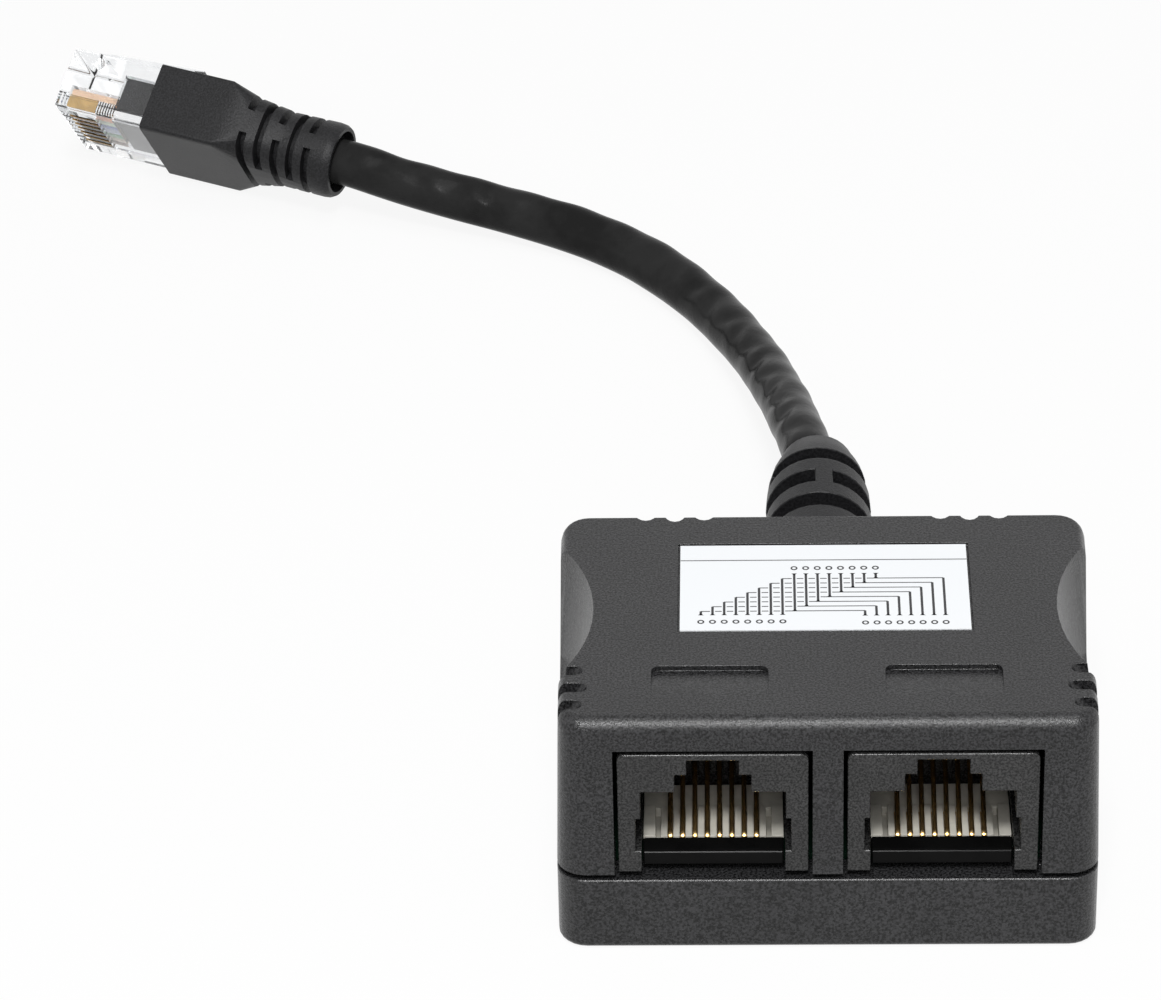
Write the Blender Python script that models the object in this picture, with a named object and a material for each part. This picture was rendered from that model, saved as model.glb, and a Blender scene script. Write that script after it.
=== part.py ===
"""RJ45 splitter adapter: a moulded two-port box on a short patch lead that ends in a clear modular plug.

Metres, +Z up. The jacks face -Y and the lead leaves the box towards +Y. The origin is the centre of the
box's footprint on the table.
"""

from math import asin, copysign, cos, pi, radians, sin, tan

import bmesh
import bpy
from mathutils import Matrix, Vector

# Housing
DEPTH = 0.0318
FRONT_PILLAR = 0.00515
ROOF_OVER_JACK = 0.0032
BASE_HEIGHT = 0.0070
REVEAL = 0.00055
WALL = 0.0019
ROOF = 0.0018
FLOOR = 0.0018
DRAFT = 0.00035
REAR_FLARE = 0.00035
FRONT_CORNER = 0.0024
REAR_CORNER = 0.0028
LEAST_CORNER = 0.0004
TOP_FILLET_HEIGHT = 0.0013
TOP_FILLET_FRONT = 0.0013
TOP_FILLET_SIDE = 0.0007
TOP_FILLET_REAR = 0.00045
BOTTOM_FILLET = 0.0006
LIP_THICKNESS = 0.0009
LIP_HEIGHT = 0.0015
LIP_BAND = 0.0020
FIT = 0.0001
SEAT_GAP = 0.0003
OVERCUT = 0.001
OVERLAP = 0.0002

# Scoops, grips and flutes on the cover
SCOOP_RADIUS = 0.0178
SCOOP_DEPTH = 0.00285
SCOOP_SILL_DEPTH = 0.00145
SCOOP_CENTRE_Y = 0.0009
SCOOP_SILL_Z = 0.0128
SCOOP_FOOT_Z = 0.0106
SCOOP_RUNOUT = 0.0002
GRIP_WIDTH = 0.0013
GRIP_REACHES = (0.0020, 0.0024, 0.0020)
GRIP_FALL = 1.5
GRIP_FRONT_MARGIN = 0.0030
GRIP_PITCH = 0.00245
GRIP_LEAD = 0.003
GRIP_OPEN_HEIGHT = 0.005
FLUTE_HALF_WIDTH = 0.00095
FLUTE_DEPTHS = (0.0012, 0.0014, 0.0012)
FLUTE_FIRST_X = 0.0101
FLUTE_PITCH = 0.0025

# Label and the two thumb marks
LABEL_WIDTH = 0.0242
LABEL_LENGTH = 0.0129
LABEL_THICKNESS = 0.00015
LABEL_CENTRE_Y = 0.0043
LABEL_MARGIN = 0.0002
LABEL_SINK = 0.00005
MARK_X = 0.0096
MARK_WIDTH = 0.0096
MARK_LENGTH = 0.0047
MARK_DEPTH = 0.00050
MARK_REAR_Y = -0.0074
MARK_CORNER = 0.0007

# Circuit board and the pins that hold the shells
BOARD_Z = 0.0058
BOARD_THICKNESS = 0.0016
BOARD_EDGE_GAP = 0.0003
BOARD_REAR_Y = 0.0094
PIN_RADIUS = 0.0008
PIN_LENGTH = 0.0055
POST_RADIUS = 0.0015
BOSS_RADIUS = 0.0019
PIN_INSET = 0.00735
PIN_Y = 0.0050
FRONT_POST_Y = -0.0090
FRONT_POST_RADIUS = 0.0011

# Jacks
JACK_WIDTH = 0.0156
JACK_GAP = 0.0032
JACK_HEIGHT = 0.0117
JACK_DEPTH = 0.0140
JACK_SETBACK = 0.0003
JACK_BACK_WALL = 0.0024
JACK_CORNER = 0.0006
MOUTH_MARGIN = 0.00035
LATCH_SLOT_WIDTH = 0.0043
LATCH_SLOT_TOP = 0.00056
LATCH_STEP_WIDTH = 0.0063
LATCH_STEP_TOP = 0.0020
PLUG_BAY_WIDTH = 0.01194
PLUG_BAY_TOP = 0.0037
RAIL_WIDTH = 0.0128
RAIL_TOP = 0.0064
RAIL_BOTTOM = 0.00965
FLOOR_DROP = 0.0007
LEG_BAY_WIDTH = 0.0118
BAR_SETBACK = 0.0009
BAR_DEPTH = 0.0021
BAR_CHAMFER = 0.00025
CARRIER_DEPTH = 0.0076
CARRIER_LEDGE = 0.00025
CONTACT_PITCH = 0.00102
CONTACT_COUNT = 8
CONTACT_SLOT = 0.0006
CONTACT_WIDTH = 0.00042
CONTACT_THICKNESS = 0.00022
CONTACT_RISE = 0.0040
CONTACT_BEND = 0.0003
COMB_DEPTH = 0.0007

# Strain relief on the housing
LEAD_Z = 0.0113
RELIEF_LENGTH = 0.0252
RELIEF_RADIUS = 0.0050
RELIEF_TIP_RADIUS = 0.0033
NECK_RADIUS = 0.0034
NECK_GAP = 0.0002
FLANGE_RADIUS = 0.0041
FLANGE_THICKNESS = 0.0013
RELIEF_SLOT_PITCH = 0.0041
RELIEF_SLOT_WIDTH = 0.0021
RELIEF_FIRST_SLOT = 0.0049
RELIEF_SLOT_COUNT = 5
RELIEF_SLOT_DEPTH = 0.0018
RELIEF_SLOT_TURN = 6.0
SLOT_BRIDGE = 0.0016
RELIEF_PROFILE = (
    (0.0, 1.0), (0.47, 0.98), (0.63, 0.955), (0.75, 0.93), (0.83, 0.89), (0.90, 0.82), (0.96, 0.72),
)

# Cable and core wires
CABLE_RADIUS = 0.0024
CABLE_STEP = 0.0031
CABLE_EXIT_X = -0.0007
CORE_RADIUS = 0.00045
CORE_PITCH = 0.00102
PAD_PITCH = 0.0020
PAD_Y = 0.0072

# Plug and its moulded boot
PLUG_END = (-0.0475, 0.1084, 0.0062)
PLUG_YAW = 69.5
PLUG_PITCH = 4.0
PLUG_ROLL = 52.0
BOOT_LENGTH = 0.0198
BOOT_WIDTH = 0.0124
BOOT_THICKNESS = 0.0074
BOOT_TAIL_RADIUS = 0.0039
BOOT_NOSE_LEVELS = ((0.0, 0.92), (0.0004, 0.98), (0.0010, 1.0))
BOOT_SWELL_LEVELS = ((0.0057, 0.69, 0.975, 2.4), (0.0092, 0.87, 0.985, 3.6), (0.0118, 1.0, 1.0, 24.0))
BOOT_FRONT_POWER = 24
BOOT_SLOT_PITCH = 0.00165
BOOT_SLOT_WIDTH = 0.00075
BOOT_FIRST_SLOT = 0.0026
BOOT_SLOT_COUNT = 5
BOOT_SLOT_DEPTH = 0.0009
BOOT_RECESS_RADIUS = 0.0032
BOOT_RECESS_DEPTH = 0.0012
PLUG_WIDTH = 0.01168
PLUG_THICKNESS = 0.0066
PLUG_LENGTH = 0.0172
PLUG_EXPOSED = 0.0100
PLUG_EDGE = 0.0004
TONGUE_WIDTH = 0.0074
TONGUE_THICKNESS = 0.0036
TONGUE_TIP_GAP = 0.0062
WIRE_RADIUS = 0.0004
WIRE_Z = -0.0010
BLADE_THICKNESS = 0.00035
BLADE_LENGTH = 0.0032
BLADE_FRONT_GAP = 0.0009
BLADE_SINK = 0.0002
LATCH_WIDTH = 0.0060
LATCH_THICKNESS = 0.0009
LATCH_LENGTH = 0.0120
LATCH_ANGLE = 6.0
LATCH_ROOT_GAP = 0.0008
LATCH_FOOT = 0.0024
LATCH_EMBED = 0.0005
LATCH_END_SHARE = 0.6

# The lead's route, from the strain relief to the plug's boot, as it lies on the table
ROUTE = (
    (-0.0008, 0.0432, 0.0113),
    (-0.0014, 0.0485, 0.0102),
    (-0.0020, 0.0530, 0.0090),
    (-0.0026, 0.0577, 0.0078),
    (-0.0034, 0.0622, 0.0067),
    (-0.0042, 0.0666, 0.0057),
    (-0.0052, 0.0709, 0.0048),
    (-0.0064, 0.0751, 0.0040),
    (-0.0077, 0.0790, 0.0034),
    (-0.0092, 0.0828, 0.0029),
    (-0.0110, 0.0864, 0.0026),
    (-0.0134, 0.0902, 0.0025),
    (-0.0168, 0.0944, 0.0025),
    (-0.0208, 0.0980, 0.0026),
    (-0.0250, 0.1006, 0.0029),
    (-0.0310, 0.1031, 0.0035),
    (-0.0368, 0.1048, 0.0044),
    (-0.0415, 0.1062, 0.0052),
    (-0.0462, 0.1079, 0.0061),
)

# Places worked out from the sizes
WIDTH = 2 * (JACK_WIDTH + FRONT_PILLAR) + JACK_GAP
JACK_X = (JACK_WIDTH + JACK_GAP) / 2
SPLIT_Z = BASE_HEIGHT + REVEAL
FRONT_Y = -DEPTH / 2
REAR_Y = DEPTH / 2
BOARD_TOP = BOARD_Z + BOARD_THICKNESS
JACK_BOTTOM = BOARD_TOP + SEAT_GAP
JACK_TOP = JACK_BOTTOM + JACK_HEIGHT
HEIGHT = JACK_TOP + ROOF_OVER_JACK
JACK_FRONT = FRONT_Y + JACK_SETBACK
LIP_INSET = WALL + FIT
BAND_INSET = LIP_INSET + LIP_THICKNESS
FLOOR_TOP = JACK_TOP - RAIL_BOTTOM - FLOOR_DROP
PIN_X = WIDTH / 2 - PIN_INSET
SCOOP_FLANK_X = (WIDTH + REAR_FLARE) / 2 - DRAFT
TIP_Y = BOOT_LENGTH + PLUG_EXPOSED
RELIEF_TIP_Y = REAR_Y + NECK_GAP + RELIEF_LENGTH
FLANGE_Y = REAR_Y - WALL - DRAFT - NECK_GAP

for old in list(bpy.data.objects):
    bpy.data.objects.remove(old, do_unlink=True)

parts = bpy.data.collections.new("rj45_splitter_adapter")
cutters = bpy.data.collections.new("cutters")
bpy.context.scene.collection.children.link(parts)
bpy.context.scene.collection.children.link(cutters)


def plastic(name, colour, roughness, metallic=0.0, transmission=0.0):
    """One Principled material, in the colour read from the photograph."""
    made = bpy.data.materials.new(name)
    made.use_nodes = True
    shader = made.node_tree.nodes["Principled BSDF"]
    shader.inputs["Base Color"].default_value = (*colour, 1.0)
    shader.inputs["Roughness"].default_value = roughness
    shader.inputs["Metallic"].default_value = metallic
    shader.inputs["Transmission Weight"].default_value = transmission
    made.diffuse_color = (*colour, 1.0)
    return made


CHARCOAL = plastic("charcoal_abs", (0.038, 0.038, 0.040), 0.55)
JACK_GREY = plastic("jack_grey_pbt", (0.034, 0.035, 0.037), 0.5)
GLOSS_BLACK = plastic("gloss_black_pbt", (0.012, 0.012, 0.014), 0.25)
NATURAL = plastic("natural_nylon", (0.66, 0.64, 0.58), 0.45)
GOLD = plastic("gold_plating", (0.83, 0.57, 0.22), 0.25, 1.0)
WHITE_FILM = plastic("white_label_film", (0.85, 0.86, 0.87), 0.45)
BOARD_GREEN = plastic("board_green", (0.006, 0.030, 0.016), 0.45)
SOFT_BLACK = plastic("soft_pvc_black", (0.030, 0.030, 0.032), 0.5)
JACKET_BLACK = plastic("cable_jacket_black", (0.016, 0.016, 0.018), 0.35)
CLEAR = plastic("clear_polycarbonate", (0.80, 0.82, 0.83), 0.08, 0.0, 0.9)
WIRE_TONES = {
    "white_orange": (0.80, 0.55, 0.38), "orange": (0.72, 0.22, 0.04),
    "white_green": (0.55, 0.72, 0.55), "blue": (0.03, 0.10, 0.42),
    "white_blue": (0.52, 0.60, 0.78), "green": (0.04, 0.30, 0.09),
    "white_brown": (0.62, 0.50, 0.40), "brown": (0.20, 0.09, 0.04),
}
WIRE_MATERIALS = [plastic(f"core_{tone}", rgb, 0.4) for tone, rgb in WIRE_TONES.items()]


def place(name, bm, material, parent=None, collection=parts):
    """Turns a bmesh into a named object with its own material."""
    bmesh.ops.remove_doubles(bm, verts=bm.verts, dist=1e-8)
    bmesh.ops.recalc_face_normals(bm, faces=bm.faces)
    mesh = bpy.data.meshes.new(name)
    bm.to_mesh(mesh)
    bm.free()
    mesh.shade_smooth()
    mesh.set_sharp_from_angle(angle=radians(35))
    made = bpy.data.objects.new(name, mesh)
    if material:
        mesh.materials.append(material)
    made.parent = parent
    collection.objects.link(made)
    return made


def cutter(name, bm, parent=None):
    """A shape that only cuts or joins: kept out of the render."""
    made = place(name, bm, None, parent, cutters)
    made.hide_render = True
    made.display_type = "WIRE"
    return made


def boolean(target, tool, operation="DIFFERENCE"):
    step = target.modifiers.new(tool.name, "BOOLEAN")
    step.operation = operation
    step.solver = "EXACT"
    step.object = tool


def box(bm, low, high):
    """A cube primitive stretched between two corners."""
    size = Vector(high) - Vector(low)
    middle = (Vector(high) + Vector(low)) / 2
    bmesh.ops.create_cube(bm, size=1.0, matrix=Matrix.Translation(middle) @ Matrix.Diagonal((*size, 1.0)))


def loft(bm, rings):
    """A closed solid through rings of equal length, capped at both ends."""
    loops = [[bm.verts.new(point) for point in ring] for ring in rings]
    count = len(loops[0])
    for near, far in zip(loops, loops[1:]):
        for i in range(count):
            j = (i + 1) % count
            bm.faces.new((near[i], near[j], far[j], far[i]))
    bm.faces.new(list(reversed(loops[0])))
    bm.faces.new(loops[-1])


def prism_y(bm, outline, y_near, y_far):
    """An outline in X and Z, drawn out along Y."""
    loft(bm, [[(x, y, z) for x, z in outline] for y in (y_near, y_far)])


def turned(bm, x, y, levels, sides=16):
    """A stepped round post standing on Z, from (height, radius) pairs."""
    angles = [2 * pi * i / sides for i in range(sides)]
    loft(bm, [[(x + r * cos(a), y + r * sin(a), z) for a in angles] for z, r in levels])


def housing_ring(z, side, front, rear, steps=6):
    """The box's plan outline at one height, drawn in by the given insets."""
    ring = []
    corners = (
        (1, REAR_Y - rear, REAR_CORNER, REAR_FLARE), (-1, REAR_Y - rear, REAR_CORNER, REAR_FLARE),
        (-1, FRONT_Y + front, FRONT_CORNER, 0.0), (1, FRONT_Y + front, FRONT_CORNER, 0.0),
    )
    for quarter, (side_sign, y, radius, flare) in enumerate(corners):
        radius = max(radius - side, LEAST_CORNER)
        centre_x = side_sign * (WIDTH / 2 + flare - side - radius)
        centre_y = y - copysign(radius, y)
        for i in range(steps + 1):
            angle = radians(90 * (quarter + i / steps))
            ring.append((centre_x + radius * cos(angle), centre_y + radius * sin(angle), z))
    return ring


def housing_block(bm, levels):
    """A loft of plan outlines from (height, inset) pairs, the inset alike all round."""
    loft(bm, [housing_ring(z, inset, inset, inset) for z, inset in levels])


def oval_point(half_width, half_height, power, angle):
    """A point on a superellipse: power 2 is an ellipse, a high power a rounded rectangle."""
    c, s = cos(angle), sin(angle)
    x = half_width * copysign(abs(c) ** (2 / power), c)
    z = half_height * copysign(abs(s) ** (2 / power), s)
    return x, z


def oval_at(stations, y):
    """Half width, half height and power of a boot at a place along it."""
    for (y0, *start), (y1, *end) in zip(stations, stations[1:]):
        if y <= y1:
            t = max(0.0, (y - y0) / (y1 - y0))
            return [a + (b - a) * t for a, b in zip(start, end)]
    return stations[-1][1:]


def boot_body(bm, stations, axis_z=0.0, sides=32):
    rings = []
    for y, half_width, half_height, power in stations:
        points = [oval_point(half_width, half_height, power, 2 * pi * i / sides) for i in range(sides)]
        rings.append([(x, y, axis_z + z) for x, z in points])
    loft(bm, rings)


def boot_slots(bm, stations, first, pitch, count, width, depth, paired_first, axis_z=0.0, turn=0.0, steps=10):
    """Flex slots: rings bridged alternately at the sides and at the top and bottom."""
    for index in range(count):
        middle = first + index * pitch
        half_width, half_height, power = oval_at(stations, middle)
        paired = (index % 2 == 0) == paired_first
        reach = half_height if paired else half_width
        gap = asin(min(0.9, SLOT_BRIDGE / 2 / reach))
        start = (pi / 2 if paired else 0.0) + gap - radians(turn)
        for half in (0, 1):
            begin = start + half * pi
            angles = [begin + (pi - 2 * gap) * i / steps for i in range(steps + 1)]
            rings = []
            for angle in angles:
                inner = oval_point(half_width - depth, half_height - depth, power, angle)
                outer = oval_point(half_width + depth, half_height + depth, power, angle)
                rings.append([
                    (inner[0], middle - width / 2, axis_z + inner[1]),
                    (outer[0], middle - width / 2, axis_z + outer[1]),
                    (outer[0], middle + width / 2, axis_z + outer[1]),
                    (inner[0], middle + width / 2, axis_z + inner[1]),
                ])
            loft(bm, rings)


def wire(name, points, radius, material, sides_level, parent=None):
    """A round wire along straight or curved points, as a poly curve with filled caps."""
    curve = bpy.data.curves.new(name, "CURVE")
    curve.dimensions = "3D"
    curve.bevel_depth = radius
    curve.bevel_resolution = sides_level
    curve.use_fill_caps = True
    spline = curve.splines.new("POLY")
    spline.points.add(len(points) - 1)
    for point, target in zip(spline.points, points):
        point.co = (*target, 1.0)
    curve.materials.append(material)
    made = bpy.data.objects.new(name, curve)
    made.parent = parent
    parts.objects.link(made)
    return made


def smooth_path(knots, step):
    """Points an even step apart on a Catmull-Rom curve through the knots."""
    knots = [Vector(k) for k in knots]
    ends = [2 * knots[0] - knots[1]] + knots + [2 * knots[-1] - knots[-2]]
    fine = []
    for a, b, c, d in zip(ends, ends[1:], ends[2:], ends[3:]):
        for i in range(20):
            t = i / 20
            fine.append(0.5 * (2 * b + (c - a) * t + (2 * a - 5 * b + 4 * c - d) * t * t
                               + (3 * b - a - 3 * c + d) * t ** 3))
    fine.append(knots[-1])
    length = sum((b - a).length for a, b in zip(fine, fine[1:]))
    count = round(length / step)
    path, walked, due = [fine[0]], 0.0, length / count
    for a, b in zip(fine, fine[1:]):
        walked += (b - a).length
        if walked >= due - 1e-9:
            path.append(b)
            due += length / count
    path[-1] = fine[-1]
    return path


def strip(name, x, path, width, thickness, material):
    """A flat spring bent in the Y and Z plane, mitred where it bends."""
    path = [Vector(p) for p in path]
    rings = []
    for i, p in enumerate(path):
        before = (p - path[i - 1]).normalized() if i else (path[1] - p).normalized()
        after = (path[i + 1] - p).normalized() if i < len(path) - 1 else before
        square = Vector((-before.y - after.y, before.x + after.x)).normalized()
        square *= thickness / 2 / square.dot(Vector((-before.y, before.x)))
        rings.append([(x + side * width / 2, *(p + lift * square))
                      for side, lift in ((-1, -1), (1, -1), (1, 1), (-1, 1))])
    bm = bmesh.new()
    loft(bm, rings)
    place(name, bm, material)


def contact_offsets():
    middle = (CONTACT_COUNT - 1) / 2
    return [(i - middle) * CONTACT_PITCH for i in range(CONTACT_COUNT)]


# Top cover: the upper shell, with finger scoops, grips, flutes, thumb marks and the label's bed
def fillet_levels(top, height, steps=5):
    """Fractions up a rounded edge: (height, how far it is drawn in from 0 to 1)."""
    angles = [radians(90 * i / steps) for i in range(steps + 1)]
    return [(top - height + height * sin(a), 1 - cos(a)) for a in angles]


def cover_block(bm):
    rings = [housing_ring(SPLIT_Z, 0, 0, 0)]
    for z, share in fillet_levels(HEIGHT, TOP_FILLET_HEIGHT):
        insets = (DRAFT + fillet * share for fillet in (TOP_FILLET_SIDE, TOP_FILLET_FRONT, TOP_FILLET_REAR))
        rings.append(housing_ring(z, *insets))
    loft(bm, rings)


def scoop(bm, sign, thicker=0.0, sides=72):
    """A round bite out of one flank that flares outwards down to a sill."""
    rings = []
    levels = (
        (HEIGHT + OVERCUT, SCOOP_DEPTH), (HEIGHT, SCOOP_DEPTH),
        (SCOOP_SILL_Z - thicker, SCOOP_SILL_DEPTH), (SCOOP_FOOT_Z - thicker, -DRAFT - SCOOP_RUNOUT),
    )
    for z, depth in levels:
        radius = SCOOP_RADIUS + thicker
        centre = sign * (SCOOP_FLANK_X - depth + SCOOP_RADIUS)
        angles = [2 * pi * i / sides for i in range(sides)]
        rings.append([(centre + radius * cos(a), SCOOP_CENTRE_Y + radius * sin(a), z) for a in angles])
    loft(bm, rings)


def grip(bm, sign, y, reach, sides=8):
    """A round-bottomed notch that starts on the roof and runs down over the flank's edge."""
    half_width = WIDTH / 2 - DRAFT
    along = Vector((sign * 1.0, 0, -GRIP_FALL)).normalized()
    out = Vector((sign * GRIP_FALL, 0, 1.0)).normalized()
    start = Vector((sign * (half_width - reach), y, HEIGHT)) - along * GRIP_LEAD
    end = start + along * (GRIP_LEAD + reach * (1 + GRIP_FALL))
    radius = GRIP_WIDTH / 2
    section = [(radius * cos(a), -radius * sin(a)) for a in (pi * i / sides for i in range(sides + 1))]
    section += [(-radius, GRIP_OPEN_HEIGHT), (radius, GRIP_OPEN_HEIGHT)]
    middle = out * radius
    loft(bm, [[p + middle + Vector((0, across, 0)) + out * up for across, up in section]
              for p in (start, end)])


def flute(bm, x, depth, sides=16):
    """An oval groove down the rear wall."""
    angles = [2 * pi * i / sides for i in range(sides)]
    loft(bm, [[(x + FLUTE_HALF_WIDTH * cos(a), REAR_Y + depth * sin(a), z) for a in angles]
              for z in (SPLIT_Z - OVERCUT, HEIGHT + OVERCUT)])


def thumb_mark(bm, x):
    """A ramp sunk in the roof over a jack: deepest at its rear wall, level with the roof at its front."""
    half = MARK_WIDTH / 2
    plan = [(x - half, -MARK_LENGTH), (x + half, -MARK_LENGTH)]
    for sign in (1, -1):
        for i in range(5):
            angle = radians(90 * i / 4) if sign > 0 else radians(90 + 90 * i / 4)
            centre = x + sign * (half - MARK_CORNER)
            plan.append((centre + MARK_CORNER * cos(angle), -MARK_CORNER + MARK_CORNER * sin(angle)))
    low = [(px, MARK_REAR_Y + py, HEIGHT - MARK_DEPTH * (1 + py / MARK_LENGTH)) for px, py in plan]
    high = [(px, MARK_REAR_Y + py, HEIGHT + OVERCUT) for px, py in plan]
    loft(bm, [low, high])


def relief_way(bm, radius, y_near, y_far, sides=16):
    """An upright U, round at the top and open down to the split between the shells."""
    angles = [pi * i / sides for i in range(sides + 1)]
    outline = [(radius * cos(a), LEAD_Z + radius * sin(a)) for a in angles]
    outline += [(-radius, BASE_HEIGHT), (radius, BASE_HEIGHT)]
    prism_y(bm, outline, y_near, y_far)


def make_top_cover():
    bm = bmesh.new()
    cover_block(bm)
    cover = place("top_cover", bm, CHARCOAL)

    bm = bmesh.new()
    for sign in (-1, 1):
        scoop(bm, sign)
    boolean(cover, cutter("cover_scoops", bm))

    bm = bmesh.new()
    housing_block(bm, ((BASE_HEIGHT - OVERCUT, WALL), (HEIGHT - ROOF, WALL + DRAFT)))
    hollow = cutter("cover_hollow", bm)
    bm = bmesh.new()
    for sign in (-1, 1):
        scoop(bm, sign, WALL)
    boolean(hollow, cutter("scoop_backs", bm))
    boolean(cover, hollow)

    bm = bmesh.new()
    boss_foot = BOARD_TOP + SEAT_GAP
    for sign in (-1, 1):
        turned(bm, sign * PIN_X, PIN_Y, ((boss_foot, BOSS_RADIUS), (HEIGHT - ROOF / 2, BOSS_RADIUS)))
    boolean(cover, cutter("cover_bosses", bm), "UNION")

    bm = bmesh.new()
    bore = PIN_RADIUS + FIT
    for sign in (-1, 1):
        turned(bm, sign * PIN_X, PIN_Y, ((boss_foot - OVERCUT, bore), (boss_foot + PIN_LENGTH, bore)), 12)
        for index, reach in enumerate(GRIP_REACHES):
            grip(bm, sign, FRONT_Y + GRIP_FRONT_MARGIN + index * GRIP_PITCH, reach)
        for index, depth in enumerate(FLUTE_DEPTHS):
            flute(bm, sign * (FLUTE_FIRST_X + index * FLUTE_PITCH), depth)
        thumb_mark(bm, sign * MARK_X)
    half_x = LABEL_WIDTH / 2 + LABEL_MARGIN
    half_y = LABEL_LENGTH / 2 + LABEL_MARGIN
    bed = HEIGHT - LABEL_SINK - LABEL_THICKNESS - FIT
    box(bm, (-half_x, LABEL_CENTRE_Y - half_y, bed), (half_x, LABEL_CENTRE_Y + half_y, HEIGHT + OVERCUT))
    boolean(cover, cutter("cover_details", bm))

    bm = bmesh.new()
    half = JACK_WIDTH / 2 + MOUTH_MARGIN
    for sign in (-1, 1):
        x = sign * JACK_X
        box(bm, (x - half, FRONT_Y - OVERCUT, BASE_HEIGHT),
            (x + half, FRONT_Y + WALL + OVERCUT, JACK_TOP + MOUTH_MARGIN))
    relief_way(bm, NECK_RADIUS + NECK_GAP, REAR_Y - WALL - OVERCUT, REAR_Y + OVERCUT)
    boolean(cover, cutter("cover_mouths", bm))


# Base shell: a tray with a lip that registers in the cover, posts for the board and two press pins
def make_base_shell():
    bm = bmesh.new()
    angles = [radians(90 * i / 5) for i in range(5, -1, -1)]
    foot = [(BOTTOM_FILLET * (1 - sin(a)), BOTTOM_FILLET * (1 - cos(a))) for a in angles]
    housing_block(bm, foot + [(BASE_HEIGHT, 0.0)])
    base = place("base_shell", bm, CHARCOAL)

    bm = bmesh.new()
    housing_block(bm, ((BASE_HEIGHT - OVERCUT, LIP_INSET), (SPLIT_Z + LIP_HEIGHT, LIP_INSET)))
    lip = cutter("base_lip", bm)
    bm = bmesh.new()
    reach = JACK_X + JACK_WIDTH / 2 + SEAT_GAP
    top = SPLIT_Z + LIP_HEIGHT + OVERCUT
    box(bm, (-reach, FRONT_Y, BASE_HEIGHT), (reach, 0.0, top))
    gate = FLANGE_RADIUS + SEAT_GAP
    box(bm, (-gate, OVERCUT, BASE_HEIGHT), (gate, REAR_Y, top))
    boolean(lip, cutter("lip_gates", bm))
    boolean(base, lip, "UNION")

    bm = bmesh.new()
    ledge = BASE_HEIGHT - LIP_BAND
    housing_block(bm, ((FLOOR, WALL), (ledge, WALL), (ledge, BAND_INSET), (top, BAND_INSET)))
    boolean(base, cutter("base_hollow", bm))

    bm = bmesh.new()
    for sign in (-1, 1):
        turned(bm, sign * PIN_X, PIN_Y, (
            (FLOOR / 2, POST_RADIUS), (BOARD_Z - SEAT_GAP, POST_RADIUS), (BOARD_Z - SEAT_GAP, PIN_RADIUS),
            (BOARD_TOP + PIN_LENGTH, PIN_RADIUS)), 12)
    turned(bm, 0, FRONT_POST_Y, ((FLOOR / 2, FRONT_POST_RADIUS), (BOARD_Z - SEAT_GAP, FRONT_POST_RADIUS)), 12)
    boolean(base, cutter("base_posts", bm), "UNION")


# Label: a white film in the cover's bed
def make_label():
    bm = bmesh.new()
    top = HEIGHT - LABEL_SINK
    box(bm, (-LABEL_WIDTH / 2, LABEL_CENTRE_Y - LABEL_LENGTH / 2, top - LABEL_THICKNESS),
        (LABEL_WIDTH / 2, LABEL_CENTRE_Y + LABEL_LENGTH / 2, top))
    place("wiring_label", bm, WHITE_FILM)


# Circuit board: joins the two jacks to the lead, on the base's posts
def make_board():
    half_x = WIDTH / 2 - BAND_INSET - BOARD_EDGE_GAP
    bm = bmesh.new()
    box(bm, (-half_x, FRONT_Y + BAND_INSET + BOARD_EDGE_GAP, BOARD_Z), (half_x, BOARD_REAR_Y, BOARD_TOP))
    board = place("circuit_board", bm, BOARD_GREEN)
    bm = bmesh.new()
    for sign in (-1, 1):
        turned(bm, sign * PIN_X, PIN_Y, (
            (BOARD_Z - OVERCUT, PIN_RADIUS + 2 * FIT), (BOARD_TOP + OVERCUT, PIN_RADIUS + 2 * FIT)), 12)
    boolean(board, cutter("board_holes", bm))


# Jacks: housing, front bar, slotted contact carrier and eight spring contacts, twice over
def mirrored(half_outline, x):
    """A closed outline from its right half, listed from the bottom up."""
    return [(x + u, z) for u, z in half_outline] + [(x - u, z) for u, z in reversed(half_outline)]


def bay_outline(x):
    """The stepped mouth: latch slot, latch step, plug bay, side rails and the gap between the legs."""
    steps = (
        (LEG_BAY_WIDTH, JACK_HEIGHT + OVERCUT, RAIL_BOTTOM), (RAIL_WIDTH, RAIL_BOTTOM, RAIL_TOP),
        (PLUG_BAY_WIDTH, RAIL_TOP, PLUG_BAY_TOP), (LATCH_STEP_WIDTH, PLUG_BAY_TOP, LATCH_STEP_TOP),
        (LATCH_SLOT_WIDTH, LATCH_STEP_TOP, LATCH_SLOT_TOP),
    )
    half = []
    for width, low, high in steps:
        half += [(width / 2, JACK_TOP - low), (width / 2, JACK_TOP - high)]
    return mirrored(half, x)


def jack_outline(x):
    half = [(JACK_WIDTH / 2, JACK_BOTTOM)]
    for i in range(5):
        angle = radians(90 * i / 4)
        half.append((JACK_WIDTH / 2 - JACK_CORNER + JACK_CORNER * cos(angle),
                     JACK_TOP - JACK_CORNER + JACK_CORNER * sin(angle)))
    return mirrored(half, x)


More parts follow.
